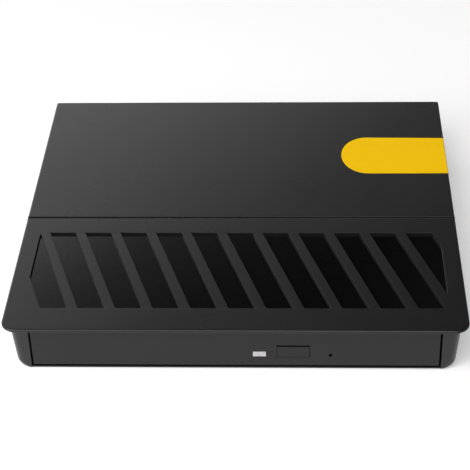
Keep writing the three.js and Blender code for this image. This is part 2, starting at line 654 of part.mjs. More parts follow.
function makeFlexLoop() {
  const radius = 0.975;
  const inner = radius - FLEX.sheet / 2;
  const outer = radius + FLEX.sheet / 2;
  const front = -45;
  const middle = 3.725 + radius;
  const shape = new THREE.Shape();
  shape.moveTo(30, middle - outer);
  shape.lineTo(30, middle - inner);
  shape.lineTo(front, middle - inner);
  shape.absarc(front, middle, inner, 270 * DEG, 90 * DEG, true);
  shape.lineTo(20, middle + inner);
  shape.lineTo(20, middle + outer);
  shape.lineTo(front, middle + outer);
  shape.absarc(front, middle, outer, 90 * DEG, 270 * DEG, false);
  return prismAlongX(shape, FLEX.left, FLEX.right, 6);
}

function makeUsbShell() {
  const { x, width, height, bottom, front, rear, radius } = USB;
  const outer = prismAlongY(roundedBox(width, height, radius), front, rear, 4);
  const inner = prismAlongY(roundedBox(width - 0.6, height - 0.6, radius - 0.3), front + 0.4, rear + 1, 4);
  return outer.subtract(inner).translate([x, 0, bottom + height / 2]);
}

function makeUsbTongue() {
  const { x, height, bottom, front } = USB;
  const middle = bottom + height / 2;
  const base = block(x - 3.6, x + 3.6, front + 0.5, front + 1.6, middle - 1.0, middle + 1.0);
  return base.add(block(x - 3.35, x + 3.35, front + 1.5, front + 6.6, middle - 0.35, middle + 0.35));
}

// ---------------------------------------------------------------- assembly
function addEnclosure() {
  place('top_shell', makeLid(), MATTE_BLACK);
  place('grille_panel', makeGrillePanel(), GLOSS_BLACK);
  place('accent_inlay', makeAccent(), YELLOW);
  place('bottom_shell', makeBottomShell(), DARK_GREY);
  for (const [corner, [x, y]] of Object.entries(footPlaces())) {
    place(`foot_${corner}`, makeFoot().translate([x, y, 0]), RUBBER);
  }
  for (const [corner, [x, y]] of Object.entries(screwPlaces())) {
    place(`case_screw_${corner}`, makeCaseScrew().translate([x, y, 0]), STEEL);
  }
}

function addUsbBoard() {
  place('bridge_board', block(-65, -44.5, 51.8, 65.6, BOARD.bottom, BOARD.top), BOARD_GREEN);
  place('bridge_chip', block(-63.5, -57.5, 52.6, 58.6, 5.1, 6.0), CHIP_BLACK);
  place('usb_socket_shell', makeUsbShell(), STEEL);
  place('usb_socket_tongue', makeUsbTongue(), CHIP_BLACK);
  place('board_link', block(-48, -37, 54, 60, 5.1, 6.6), WHITE_PLASTIC);
}

function addChassis() {
  place('drive_chassis', makeChassis(), ZINC_SHEET);
  place('drive_cover', makeCover(), ZINC_SHEET);
  place('rail_guide_left', makeGuide(-1, 47.5), WHITE_PLASTIC);
  place('rail_guide_right', makeGuide(1, 60), WHITE_PLASTIC);
  place('slide_rail_left', makeSlideRail(-1, 47), STEEL);
  place('slide_rail_right', makeSlideRail(1, 60), STEEL);
  place('drive_board', block(-40.5, 56.8, 34, 61.8, BOARD.bottom, BOARD.top), BOARD_GREEN);
  place('controller_chip', block(-10, 4, 42, 56, 5.1, 6.2), CHIP_BLACK);
  place('motor_driver_chip', block(14, 22, 44, 52, 5.1, 6.0), CHIP_BLACK);
  place('flex_connector', block(33, 51, 35, 39, 5.1, 6.6), WHITE_PLASTIC);
}

function addFlatCable() {
  const fixedRun = ribbon([[-40, 3.475], [30.5, 3.475], [33, 5.6], [34.8, 5.6]]);
  place('flex_fixed_run', fixedRun, FLEX_AMBER);
  place('flex_loop', makeFlexLoop(), FLEX_AMBER);
  place('flex_tail', ribbon([[12, 5.9], [24, 5.9], [28.5, 8.7], [34, 8.7]]), FLEX_AMBER);
}

function addTray() {
  place('tray', makeTray(), TRAY_BLACK);
  place('front_bezel', makeBezel(), DARK_GREY);
  place('eject_button', makeEjectButton(), DARK_GREY);
  place('led_light_pipe', makeLightPipe(), LED_WHITE);
  place('tray_bottom_cover', makeTrayBottomCover(), ZINC_SHEET);
  place('front_board', block(2, 34, -59.2, -53, 4.9, 5.5), BOARD_GREEN);
  place('eject_switch', block(15.4, 21, -61.4, -57.5, 5.6, 8.3), CHIP_BLACK);
  place('latch_solenoid', makeLatchSolenoid(), BRASS);
  place('latch_lever', makeLatchLever(), WHITE_PLASTIC);
}

function addTraverse() {
  place('traverse_plate', makeTraversePlate(), ZINC_SHEET, traverse);
  place('traverse_cover', makeTraverseCover(), STEEL, traverse);
  place('spindle_motor_base', makeMotorBase(), ZINC_SHEET, traverse);
  place('turntable', makeTurntable(), TRAY_BLACK, traverse);
  place('turntable_ring', makeRubberRing(), RUBBER, traverse);
  place('hub_claw_1', makeHubClaw(90), STEEL, traverse);
  place('hub_claw_2', makeHubClaw(210), STEEL, traverse);
  place('hub_claw_3', makeHubClaw(330), STEEL, traverse);
  place('guide_rod_main', makeRod(SLED.rodX), STEEL, traverse);
  place('guide_rod_aux', makeRod(-SLED.rodX), STEEL, traverse);
  place('pickup_sled', makePickupSled(), ZINC_SHEET, traverse);
  place('feed_nut', makeFeedNut(), WHITE_PLASTIC, traverse);
  place('lens_holder', makeLensHolder(), CHIP_BLACK, traverse);
  place('objective_lens', makeObjectiveLens(), LENS_GLASS, traverse);
  place('leadscrew', makeLeadscrew(), STEEL, traverse);
  place('feed_motor', makeFeedMotor(), STEEL, traverse);
}

addEnclosure();
addUsbBoard();
addChassis();
addFlatCable();
addTray();
addTraverse();

export default optical_drive;
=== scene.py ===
"""External slim optical drive: the finished look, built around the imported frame.

Shapes are drawn in millimetres in the drive's own axes (X right, Y back, Z up, the feet on z = 0)
and turned into metres when each piece is made.
"""

import math

import bmesh
import bpy
from mathutils import Matrix, Vector
from mathutils.geometry import tessellate_polygon


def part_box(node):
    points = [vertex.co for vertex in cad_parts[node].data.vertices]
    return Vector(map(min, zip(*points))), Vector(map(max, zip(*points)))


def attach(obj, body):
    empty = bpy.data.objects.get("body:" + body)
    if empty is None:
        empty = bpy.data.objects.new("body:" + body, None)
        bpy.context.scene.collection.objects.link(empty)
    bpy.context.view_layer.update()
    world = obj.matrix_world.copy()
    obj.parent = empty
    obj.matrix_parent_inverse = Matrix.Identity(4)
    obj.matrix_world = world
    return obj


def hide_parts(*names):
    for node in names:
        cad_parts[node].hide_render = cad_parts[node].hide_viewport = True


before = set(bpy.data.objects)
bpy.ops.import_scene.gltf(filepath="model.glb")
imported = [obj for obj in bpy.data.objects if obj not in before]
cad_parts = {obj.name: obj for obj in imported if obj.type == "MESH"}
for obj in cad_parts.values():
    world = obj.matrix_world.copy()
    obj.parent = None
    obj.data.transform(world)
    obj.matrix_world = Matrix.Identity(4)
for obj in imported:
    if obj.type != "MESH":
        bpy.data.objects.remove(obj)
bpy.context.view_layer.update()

MM = 0.001
CORNERS = ("front_left", "front_right", "rear_left", "rear_right")


def node_box(name):
    """The lowest and highest corner of a CAD node, in millimetres."""
    low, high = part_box(name)
    return low / MM, high / MM


def node_middle(name):
    low, high = node_box(name)
    return (low + high) / 2


# ------------------------------------------------------------------------------- dimensions, mm
LID_LOW, LID_HIGH = node_box("top_shell")
TUB_LOW, TUB_HIGH = node_box("bottom_shell")
BEZEL_LOW, BEZEL_HIGH = node_box("front_bezel")
BUTTON_LOW, BUTTON_HIGH = node_box("eject_button")
PANEL_LOW, PANEL_HIGH = node_box("grille_panel")
INLAY_LOW, INLAY_HIGH = node_box("accent_inlay")
TRAY_LOW, TRAY_HIGH = node_box("tray")

LID_HALF = LID_HIGH.x
LID_TOP = LID_HIGH.z
RIM_THICKNESS = 1.0
RIM_RADIUS = 0.6
RIM_LOWER_RADIUS = 0.2
GROOVE_EDGE_SCALE = 0.35  # of the rim's edge radii
POCKET_EDGE_SCALE = 0.12
FRONT_FIELD_THICKNESS = 0.8
APRON = {"half": 63.9, "front": -65.2, "rear": -63.4, "gap": 0.1}
SKIRT = {"half": 67.5, "front": -12, "rear": 65.9, "bottom": 13.9, "thickness": 1.2}
LID_FRONT_RADIUS = 5.0
LID_REAR_RADIUS = 0.8
GROOVE_Y = -8.0
GROOVE_WIDTH = 0.9
GROOVE_DEPTH = 0.5
POCKET_DEPTH = 0.5
INLAY_END_RADIUS = 9.3
INLAY_GAP = 0.05

WINDOW_FRONT = -57.3
WINDOW_REAR = -16.8
WINDOW_HALF = 66.75
WINDOW_OUTLINE = [
    (-WINDOW_HALF + 5.4, WINDOW_FRONT),
    (WINDOW_HALF, WINDOW_FRONT),
    (WINDOW_HALF, -24.6),
    (WINDOW_HALF - 2.7, WINDOW_REAR),
    (-WINDOW_HALF, WINDOW_REAR),
    (-WINDOW_HALF, -41.7),
]
RIB_COUNT = 11
RIB_WIDTH = 3.32
RIB_PITCH = 11.87
RIB_FIRST_X = -65.14
RIB_SLANT = 14.0 / 40.5

TUB_HALF = TUB_HIGH.x
TUB_TOP = TUB_HIGH.z
TUB_BOTTOM = TUB_LOW.z
TUB_FLOOR = 2.4
TUB_WALL = 1.8
TUB_DRAFT = math.tan(math.radians(5))
MOUTH_HALF = 64.3
MOUTH_BOTTOM = 0.95
LIP_SET_BACK = 0.25

BEZEL_THICKNESS = 1.6
BUTTON = {"x": 18.2, "width": 10.2, "bottom": 5.1, "top": 9.15, "recess": 0.05, "cap_thickness": 0.8}
BUTTON_GAPS = {"left": 0.06, "right": 0.15, "bottom": 0.06, "top": 0.7}
LED = {"x": 7.7, "z": 6.25, "width": 4.1, "height": 1.95, "gap": 0.06}
PINHOLE = {"x": 29.9, "z": 5.85, "radius": 0.6}
SPINDLE = Vector((0.0, 0.6, 0.0))
RAIL_GROOVE = {"floor_x": 57.6, "bottom": 5.8, "top": 7.8}
TRAVERSE_ANGLE = math.radians(-45)
CLAW_ANGLES = (90, 210, 330)
LENS_Y = -24
ROD_X = 17
ROD_Z = 6.9
SCREW = {"x": 22, "start": -56.9, "end": -5.3, "pitch": 3.0, "sides": 20, "rings": 344}


# ------------------------------------------------------------------------------- outlines
def arc(cx, cy, radius_x, start, end, steps, radius_y=None):
    """Points on an elliptical arc, angles in degrees."""
    radius_y = radius_x if radius_y is None else radius_y
    turns = [math.radians(start + (end - start) * i / steps) for i in range(steps + 1)]
    return [(cx + radius_x * math.cos(t), cy + radius_y * math.sin(t)) for t in turns]


def rounded_rectangle(x0, x1, y0, y1, front_radius, rear_radius, steps=8):
    """Counter-clockwise outline; 'front' is the low-Y side."""
    f, r = front_radius, rear_radius
    return (
        arc(x0 + f, y0 + f, f, 180, 270, steps)
        + arc(x1 - f, y0 + f, f, 270, 360, steps)
        + arc(x1 - r, y1 - r, r, 0, 90, steps)
        + arc(x0 + r, y1 - r, r, 90, 180, steps)
    )


def circle(cx, cy, radius, steps=32):
    return arc(cx, cy, radius, 0, 360, steps)[:-1]


def rounded_polygon(points, radius, steps=3):
    """A polygon whose corners are rounded; short sides get a smaller radius."""
    result = []
    count = len(points)
    for i in range(count):
        before, here, after = (Vector(points[(i + k) % count]) for k in (-1, 0, 1))
        towards, away = (before - here), (after - here)
        half = towards.angle(away) / 2
        room = 0.45 * min(towards.length, away.length)
        reach = min(radius / math.tan(half), room)
        start, end = here + towards.normalized() * reach, here + away.normalized() * reach
        for k in range(steps + 1):
            t = k / steps
            result.append(tuple((1 - t) ** 2 * start + 2 * t * (1 - t) * here + t * t * end))
    return result


def area(points):
    return sum(a[0] * b[1] - b[0] * a[1] for a, b in zip(points, points[1:] + points[:1])) / 2


def inward_normals(points):
    """For each corner, the step that moves both of its edges by one unit to the left."""
    count = len(points)
    normals = []
    for i in range(count):
        before, here, after = (Vector(points[(i + k) % count]) for k in (-1, 0, 1))
        a, b = (here - before).normalized(), (after - here).normalized()
        na, nb = Vector((-a.y, a.x)), Vector((-b.y, b.x))
        middle = (na + nb).normalized()
        normals.append(middle / max(middle.dot(na), 0.35))
    return normals


# ------------------------------------------------------------------------------- mesh tools
def raw_object(bm):
    """A linked object straight from a bmesh in millimetres."""
    bmesh.ops.remove_doubles(bm, verts=bm.verts, dist=1e-5)
    bmesh.ops.recalc_face_normals(bm, faces=bm.faces)
    mesh = bpy.data.meshes.new("part")
    bm.to_mesh(mesh)
    bm.free()
    obj = bpy.data.objects.new("part", mesh)
    bpy.context.scene.collection.objects.link(obj)
    return obj


def loft(rings, closed=False):
    """Skins a stack of outlines, from the first cap to the last or round to the first again."""
    bm = bmesh.new()
    loops = [[bm.verts.new(p) for p in ring] for ring in rings]
    pairs = list(zip(loops, loops[1:])) + ([(loops[-1], loops[0])] if closed else [])
    for low, high in pairs:
        for i in range(len(low)):
            j = (i + 1) % len(low)
            bm.faces.new((low[i], low[j], high[j], high[i]))
    if not closed:
        bm.faces.new(loops[0][::-1])
        bm.faces.new(loops[-1])
    return raw_object(bm)


def prism(points, z0, z1):
    return loft([[(x, y, z) for x, y in points] for z in (z0, z1)])


def prism_y(points, y0, y1):
    """An (x, z) outline run along Y."""
    return loft([[(x, y, z) for x, z in points] for y in (y0, y1)])


def block(x0, x1, y0, y1, z0, z1):
    return prism([(x0, y0), (x1, y0), (x1, y1), (x0, y1)], z0, z1)


def turned(profile, x=0.0, y=0.0, steps=64, closed=False):
    """A turned solid about a vertical axis, from (radius, z) pairs, lowest cap first."""
    rings = [[(x + px, y + py, z) for px, py in circle(0, 0, r, steps)] for r, z in profile]
    return loft(rings, closed)


def rod_y(profile, x, z, steps=32):
    """A turned solid about an axis along Y, from (radius, y) pairs."""
    rings = [[(x + px, y, z + pz) for px, pz in circle(0, 0, r, steps)] for r, y in profile]
    return loft(rings)


def plate(loops):
    """A flat plate with holes. Each loop is (points, profiles): the outer outline first, then the
    holes. profiles holds, for each point, its (inset, z) steps from the lower to the upper cap."""
    bm = bmesh.new()
    caps = ([], [])
    for index, (points, profiles) in enumerate(loops):
        clockwise = index > 0
        if (area(points) > 0) == clockwise:
            points, profiles = points[::-1], profiles[::-1]
        normals = inward_normals(points)
        rings = []
        for step in range(len(profiles[0])):
            ring = []
            for point, normal, profile in zip(points, normals, profiles):
                inset, z = profile[step]
                place = Vector(point) + normal * inset
                ring.append(bm.verts.new((place.x, place.y, z)))
            rings.append(ring)
        for low, high in zip(rings, rings[1:]):
            for i in range(len(low)):
                j = (i + 1) % len(low)
                bm.faces.new((low[i], low[j], high[j], high[i]))
        caps[0].append(rings[0])
        caps[1].append(rings[-1])
    for cap in caps:
        flat = [vertex for ring in cap for vertex in ring]
        outlines = [[Vector((v.co.x, v.co.y, 0)) for v in ring] for ring in cap]
        for triangle in tessellate_polygon(outlines):
            bm.faces.new([flat[i] for i in triangle])
    return raw_object(bm)


def edge_profile(bottom, top, bottom_radius, top_radius, steps=4):
    """(inset, z) steps up a wall with a rounded lower and upper edge."""
    quarter = [math.radians(90 * i / steps) for i in range(steps + 1)]
    falls = [(1 - math.sin(t), 1 - math.cos(t)) for t in quarter]
    low = [(bottom_radius * inset, bottom + bottom_radius * rise) for inset, rise in falls]
    high = [(top_radius * inset, top - top_radius * drop) for drop, inset in falls]
    return low + high


def same_edge(points, profile):
    """A loop for plate() with the same wall all round."""
    return points, [profile] * len(points)


def rounded_plate(outline, bottom, top, radius, holes=(), hole_radius=None):
    """A plate whose outline has one edge radius and whose holes have another."""
    hole_radius = radius if hole_radius is None else hole_radius
    loops = [same_edge(outline, edge_profile(bottom, top, radius, radius, 3))]
    loops += [same_edge(hole, edge_profile(bottom, top, hole_radius, hole_radius, 3)) for hole in holes]
    return plate(loops)


def apply_modifiers(obj):
    bpy.context.view_layer.update()
    graph = bpy.context.evaluated_depsgraph_get()
    mesh = bpy.data.meshes.new_from_object(obj.evaluated_get(graph))
    obj.modifiers.clear()
    old = obj.data
    obj.data = mesh
    bpy.data.meshes.remove(old)
    return obj


def remove(obj):
    mesh = obj.data
    bpy.data.objects.remove(obj)
    bpy.data.meshes.remove(mesh)


def carve(base, cut=(), add=()):
    """Adds and cuts solids, then throws the tools away."""
    for tools, operation in ((add, "UNION"), (cut, "DIFFERENCE")):
        for tool in tools:
            modifier = base.modifiers.new(operation, "BOOLEAN")
            modifier.operation = operation
            modifier.solver = "EXACT"
            modifier.object = tool
    apply_modifiers(base)
    for tool in (*add, *cut):
        remove(tool)


def bevel(obj, width, segments=2, angle=35):
    modifier = obj.modifiers.new("edges", "BEVEL")
    modifier.width = width
    modifier.segments = segments
    modifier.limit_method = "ANGLE"
    modifier.angle_limit = math.radians(angle)
    modifier.use_clamp_overlap = False
    return apply_modifiers(obj)


def join(objects):
    """One object from several."""
    bm = bmesh.new()
    for obj in objects:
        bm.from_mesh(obj.data)
    first = objects[0]
    bm.to_mesh(first.data)
    bm.free()
    for obj in objects[1:]:
        remove(obj)
    return first


def to_traverse(obj):
    """Turns a solid drawn in the traverse's own axes into the drive's axes."""
    obj.data.transform(Matrix.Translation(SPINDLE) @ Matrix.Rotation(TRAVERSE_ANGLE, 4, "Z"))
    return obj


def smooth(obj, angle=40):
    """Smooth shading that keeps flat faces flat and corners sharp."""
    for face in obj.data.polygons:
        face.use_smooth = True
    obj.data.set_sharp_from_angle(angle=math.radians(angle))
    modifier = obj.modifiers.new("normals", "WEIGHTED_NORMAL")
    modifier.keep_sharp = True
    modifier.weight = 90


def piece(obj, name, body, material, nodes, angle=40):
    """Finishes a piece: metres, shading, material, the body it rides on and what it stands for."""
    obj.name = name
    obj.data.name = name
    obj.data.transform(Matrix.Scale(MM, 4))
    smooth(obj, angle)
    obj.data.materials.clear()
    obj.data.materials.append(material)
    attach(obj, body)
    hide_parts(*nodes)


# ------------------------------------------------------------------------------- materials
def rgb(red, green, blue):
    """Linear colour from display values of 0 to 255."""
    def linear(value):
        value /= 255
        return value / 12.92 if value <= 0.04045 else ((value + 0.055) / 1.055) ** 2.4
    return (linear(red), linear(green), linear(blue), 1.0)


# The part of a noise texture's range that carries most of its values.
NOISE_LOW = 0.3
NOISE_HIGH = 0.7


class Finish:
    """A small node-graph helper around one Principled shader."""

    def __init__(self, name, roughness, metallic=0.0, ior=1.46, coat=0.0):
        self.material = bpy.data.materials.new(name)
        self.material.use_nodes = True
        self.tree = self.material.node_tree
        self.shader = self.tree.nodes["Principled BSDF"]
        self.shader.inputs["Metallic"].default_value = metallic
        self.shader.inputs["Roughness"].default_value = roughness
        self.shader.inputs["IOR"].default_value = ior
        self.shader.inputs["Coat Weight"].default_value = coat
        self.coordinates = self.node("ShaderNodeTexCoord").outputs["Object"]

    def node(self, kind):
        return self.tree.nodes.new(kind)

    def link(self, source, target):
        self.tree.links.new(source, target)

    def noise(self, scale, detail=2.0, stretch=None):
        """Noise over the piece; scale is in lumps per metre."""
        texture = self.node("ShaderNodeTexNoise")
        texture.inputs["Scale"].default_value = scale
        texture.inputs["Detail"].default_value = detail
        source = self.coordinates
        if stretch:
            mapping = self.node("ShaderNodeMapping")
            mapping.inputs["Scale"].default_value = stretch
            self.link(source, mapping.inputs["Vector"])
            source = mapping.outputs["Vector"]
        self.link(source, texture.inputs["Vector"])
        return texture.outputs["Fac"]

    def roughness(self, value, low, high):
        """Maps a texture to a range of roughness."""
        remap = self.node("ShaderNodeMapRange")
        remap.inputs["From Min"].default_value = NOISE_LOW
        remap.inputs["From Max"].default_value = NOISE_HIGH
        remap.inputs["To Min"].default_value = low
        remap.inputs["To Max"].default_value = high
        self.link(value, remap.inputs["Value"])
        self.link(remap.outputs["Result"], self.shader.inputs["Roughness"])

    def colours(self, value, first, second):
        """Maps a texture to the colours between two."""
        ramp = self.node("ShaderNodeValToRGB")
        low, high = ramp.color_ramp.elements
        low.position, low.color = NOISE_LOW, first
        high.position, high.color = NOISE_HIGH, second
        self.link(value, ramp.inputs["Fac"])
        self.link(ramp.outputs["Color"], self.shader.inputs["Base Color"])

    def bump(self, value, height_mm):
        """Gives the surface a relief of the given height."""
        node = self.node("ShaderNodeBump")
        node.inputs["Distance"].default_value = height_mm * MM
        node.inputs["Strength"].default_value = 1.0
        self.link(value, node.inputs["Height"])
        self.link(node.outputs["Normal"], self.shader.inputs["Normal"])


def moulded_plastic(name, colour, roughness, grain_mm, relief_mm, variation=0.12, specular=0.5):
    """Moulded plastic with a spark-eroded grain and slightly uneven gloss."""
    finish = Finish(name, roughness)
    finish.shader.inputs["Specular IOR Level"].default_value = specular
    grain = finish.noise(1 / (grain_mm * MM), 3.0)
    cloud = finish.noise(28.0, 3.0)
    darker = tuple(c * (1 - variation) for c in colour[:3]) + (1.0,)
    lighter = tuple(c * (1 + variation) for c in colour[:3]) + (1.0,)
    finish.colours(grain, darker, lighter)
    finish.roughness(cloud, roughness * 0.94, roughness * 1.06)
    finish.bump(grain, relief_mm)
    return finish.material


def sheet_metal(name, colour, roughness, stretch=(1.0, 1.0, 1.0), grain=900.0):
    """Rolled or brushed metal; stretch sets the direction of the grain."""
    finish = Finish(name, roughness, metallic=1.0)
    grain_value = finish.noise(grain, 4.0, stretch)
    patches = finish.noise(90.0, 2.0)
    darker = tuple(c * 0.86 for c in colour[:3]) + (1.0,)
    finish.colours(patches, darker, colour)
    finish.roughness(grain_value, roughness * 0.8, roughness * 1.25)
    finish.bump(grain_value, 0.004)
    return finish.material


def make_materials():
    return {
        "lid": moulded_plastic("lid_plastic", (0.0085, 0.0085, 0.0087, 1), 0.28, 0.22, 0.006),
        "shell": moulded_plastic("shell_plastic", (0.0115, 0.011, 0.0112, 1), 0.22, 0.3, 0.002),
        "bezel": moulded_plastic("bezel_plastic", (0.0125, 0.0115, 0.0118, 1), 0.4, 0.3, 0.002,
                                 specular=0.36),
        "tray": moulded_plastic("tray_plastic", (0.013, 0.013, 0.0138, 1), 0.45, 0.25, 0.006),
        "yellow": yellow_material(),
        "acetal": moulded_plastic("white_acetal", rgb(226, 222, 210), 0.38, 0.4, 0.002, variation=0.03),
        "rubber": moulded_plastic("foot_rubber", rgb(24, 24, 25), 0.85, 0.15, 0.01),
        "chip": moulded_plastic("chip_package", rgb(28, 28, 30), 0.55, 0.1, 0.004),
        "steel": sheet_metal("bright_steel", rgb(196, 198, 202), 0.22),
        "zinc": sheet_metal("zinc_sheet", rgb(172, 176, 180), 0.34, (0.25, 4, 4), 260.0),
        "copper": sheet_metal("copper_winding", rgb(190, 108, 60), 0.3, (1, 14, 1), 700.0),
        "gloss": gloss_material(),
        "led": light_pipe_material(),
        "board": board_material(),
        "kapton": moulded_plastic("flat_cable", rgb(196, 120, 40), 0.3, 0.5, 0.002),
        "lens": lens_material(),
    }


def yellow_material():
    finish = Finish("yellow_plastic", 0.42)
    finish.shader.inputs["Specular IOR Level"].default_value = 0.05
    finish.colours(finish.noise(900.0, 2.0), (0.98, 0.585, 0.0, 1), (1.0, 0.6, 0.0, 1))
    finish.roughness(finish.noise(28.0, 3.0), 0.4, 0.46)
    return finish.material


def gloss_material():
    """Piano-black panel: nearly smooth, with faint wave and dust-fine haze."""
    finish = Finish("gloss_panel", 0.07, ior=1.5)
    wave = finish.noise(60.0, 1.0)
    haze = finish.noise(900.0, 2.0)
    finish.colours(haze, (0.0028, 0.0028, 0.003, 1), (0.0038, 0.0038, 0.004, 1))
    finish.roughness(haze, 0.05, 0.1)
    finish.bump(wave, 0.01)
    return finish.material


def light_pipe_material():
    """Milky polycarbonate with a faint random cloud in its tone."""
    finish = Finish("light_pipe", 0.3)
    cloud = finish.noise(700.0, 2.0)
    finish.colours(cloud, rgb(176, 174, 178), rgb(194, 192, 196))
    finish.shader.inputs["Subsurface Weight"].default_value = 0.15
    finish.shader.inputs["Subsurface Radius"].default_value = (0.001, 0.001, 0.001)
    finish.bump(cloud, 0.003)
    return finish.material


def board_material():
    """Green solder mask over faint copper tracks."""
    finish = Finish("circuit_board", 0.35, coat=0.3)
    tracks = finish.node("ShaderNodeTexBrick")
    tracks.inputs["Scale"].default_value = 420.0
    tracks.inputs["Mortar Size"].default_value = 0.035
    finish.link(finish.coordinates, tracks.inputs["Vector"])
    tracks.inputs["Color1"].default_value = rgb(18, 74, 44)
    tracks.inputs["Color2"].default_value = rgb(22, 86, 50)
    tracks.inputs["Mortar"].default_value = rgb(46, 122, 72)
    finish.link(tracks.outputs["Color"], finish.shader.inputs["Base Color"])
    finish.bump(tracks.outputs["Fac"], 0.03)
    return finish.material


def lens_material():
    """Coated lens: clear, with a faint blue bloom."""
    finish = Finish("lens_glass", 0.03, ior=1.6)
    bloom = finish.noise(300.0, 1.0)
    finish.colours(bloom, rgb(60, 78, 130), rgb(88, 70, 140))
    finish.shader.inputs["Transmission Weight"].default_value = 0.6
    return finish.material


# ------------------------------------------------------------------------------- lid
def clip(points, reach, limit, keep_below):
    """Cuts a convex outline by a line: reach(point) below or above limit."""
    sign = 1 if keep_below else -1
    value = [sign * (reach(p) - limit) for p in points]
    result = []
    for i, point in enumerate(points):
        j = (i + 1) % len(points)
        if value[i] <= 0:
            result.append(point)
        if (value[i] < 0) != (value[j] < 0):
            t = value[i] / (value[i] - value[j])
            after = points[j]
            result.append((point[0] + t * (after[0] - point[0]), point[1] + t * (after[1] - point[1])))
    return result


def slot_outlines():
    """The openings between the slanted ribs, cut from the window's outline."""
    def rear_x(point):
        return point[0] - RIB_SLANT * (WINDOW_REAR - point[1])

    slots = []
    for index in range(RIB_COUNT + 1):
        outline = WINDOW_OUTLINE
        if index > 0:
            edge = RIB_FIRST_X + (index - 1) * RIB_PITCH + RIB_WIDTH / 2
            outline = clip(outline, rear_x, edge, False)
        if index < RIB_COUNT:
            edge = RIB_FIRST_X + index * RIB_PITCH - RIB_WIDTH / 2
            outline = clip(outline, rear_x, edge, True)
        slots.append(rounded_polygon(outline, 0.3))
    return slots


def rim_wall(scale, underside):
    """The rim's own wall; scale shrinks its edge radii where it meets a groove or a pocket."""
    return edge_profile(underside, LID_TOP, RIM_LOWER_RADIUS * scale, RIM_RADIUS * scale, 5)


def rim_profile(scale, underside):
    """The lid's outer wall: a plain underside ledge, then the rim with rounded edges."""
    ledge = 5.0
    rim_bottom = LID_TOP - RIM_THICKNESS
    return [(ledge, underside), (ledge, rim_bottom)] + rim_wall(scale, rim_bottom)


def lid_front_field():
    groove_front = GROOVE_Y - GROOVE_WIDTH / 2
    r = LID_FRONT_RADIUS
    outline = arc(-LID_HALF + r, LID_LOW.y + r, r, 180, 270, 12)
    outline += arc(LID_HALF - r, LID_LOW.y + r, r, 270, 360, 12)
    outline += [(LID_HALF, groove_front - 0.6), (LID_HALF, groove_front), (-LID_HALF, groove_front)]
    outline += [(-LID_HALF, groove_front - 0.6)]
    underside = LID_TOP - FRONT_FIELD_THICKNESS
    profiles = [rim_profile(GROOVE_EDGE_SCALE if y == groove_front else 1.0, underside) for _, y in outline]
    loops = [(outline, profiles)]
    for slot in slot_outlines():
        loops.append(same_edge(slot, edge_profile(underside, LID_TOP, 0.02, 0.12, 3)))
    return plate(loops)


def inlay_outline(gap, right):
    """The pill, open to the right; gap grows it all round."""
    middle = (INLAY_LOW.y + INLAY_HIGH.y) / 2
    half = (INLAY_HIGH.y - INLAY_LOW.y) / 2 + gap
    centre = INLAY_LOW.x + INLAY_END_RADIUS
    end = arc(centre, middle, INLAY_END_RADIUS + gap, 90, 270, 40, half)
    return [(right, middle - half), (right, middle + half)] + end


def lid_rear_field():
    groove_rear = GROOVE_Y + GROOVE_WIDTH / 2
    r = LID_REAR_RADIUS
    pocket = inlay_outline(INLAY_GAP, LID_HALF)
    outline = [(-LID_HALF, groove_rear), (LID_HALF, groove_rear), (LID_HALF, groove_rear + 0.6)]
    outline += [(LID_HALF, pocket[0][1] - 0.4)] + [pocket[0]] + pocket[2:][::-1] + [pocket[1]]
    outline += [(LID_HALF, pocket[1][1] + 0.4)]
    outline += arc(LID_HALF - r, LID_HIGH.y - r, r, 0, 90, 8)
    outline += arc(-LID_HALF + r, LID_HIGH.y - r, r, 90, 180, 8)
    outline += [(-LID_HALF, groove_rear + 0.6)]
    pocket_points = set(pocket)
    underside = LID_TOP - RIM_THICKNESS
    profiles = []
    for point in outline:
        scale = 1.0
        if point[1] == groove_rear:
            scale = GROOVE_EDGE_SCALE
        if point in pocket_points:
            scale = POCKET_EDGE_SCALE
        profiles.append(rim_wall(scale, underside))
    return plate([(outline, profiles)])


def skirt_outline():
    """A U-shaped wall inside the tub, open to the front."""
    def bend(half, rear, radius):
        """Right end, right corner, left corner and left end."""
        right = [(half, SKIRT["front"])] + arc(half - radius, rear - radius, radius, 0, 90, 5)
        return right + arc(radius - half, rear - radius, radius, 90, 180, 5) + [(-half, SKIRT["front"])]

    outside = bend(SKIRT["half"], SKIRT["rear"], 2.5)
    inside = bend(SKIRT["half"] - SKIRT["thickness"], SKIRT["rear"] - SKIRT["thickness"], 1.5)
    return outside + inside[::-1]


def lid_lower_parts():
    """Groove floor, pocket floor, apron over the bezel and the skirt inside the tub."""
    rim_bottom = LID_TOP - RIM_THICKNESS
    inset = 0.02
    groove = block(-LID_HALF + inset, LID_HALF - inset, GROOVE_Y - 1.0, GROOVE_Y + 1.0,
                   rim_bottom + 0.01, LID_TOP - GROOVE_DEPTH)
    pocket = prism(inlay_outline(0.6, LID_HALF - inset), rim_bottom + 0.01, LID_TOP - POCKET_DEPTH)
    half, front, rear, gap = APRON["half"], APRON["front"], APRON["rear"], APRON["gap"]
    apron = rounded_plate(rounded_rectangle(-half, half, front, rear, 0.3, 0.3, 3),
                          BEZEL_HIGH.z + gap, rim_bottom + 0.3, 0.06)
    skirt = rounded_plate(skirt_outline(), SKIRT["bottom"], rim_bottom + 0.2, 0.1)
    return [groove, pocket, apron, skirt]


def make_lid(materials):
    lid = join([lid_front_field(), lid_rear_field()] + lid_lower_parts())
    piece(lid, "lid_moulding", "case", materials["lid"], ["top_shell"])


def make_gloss_panel(materials):
    outline = rounded_rectangle(PANEL_LOW.x, PANEL_HIGH.x, PANEL_LOW.y, PANEL_HIGH.y, 0.6, 0.6, 4)
    panel = rounded_plate(outline, PANEL_LOW.z, PANEL_HIGH.z, 0.05)
    piece(panel, "gloss_panel", "case", materials["gloss"], ["grille_panel"])


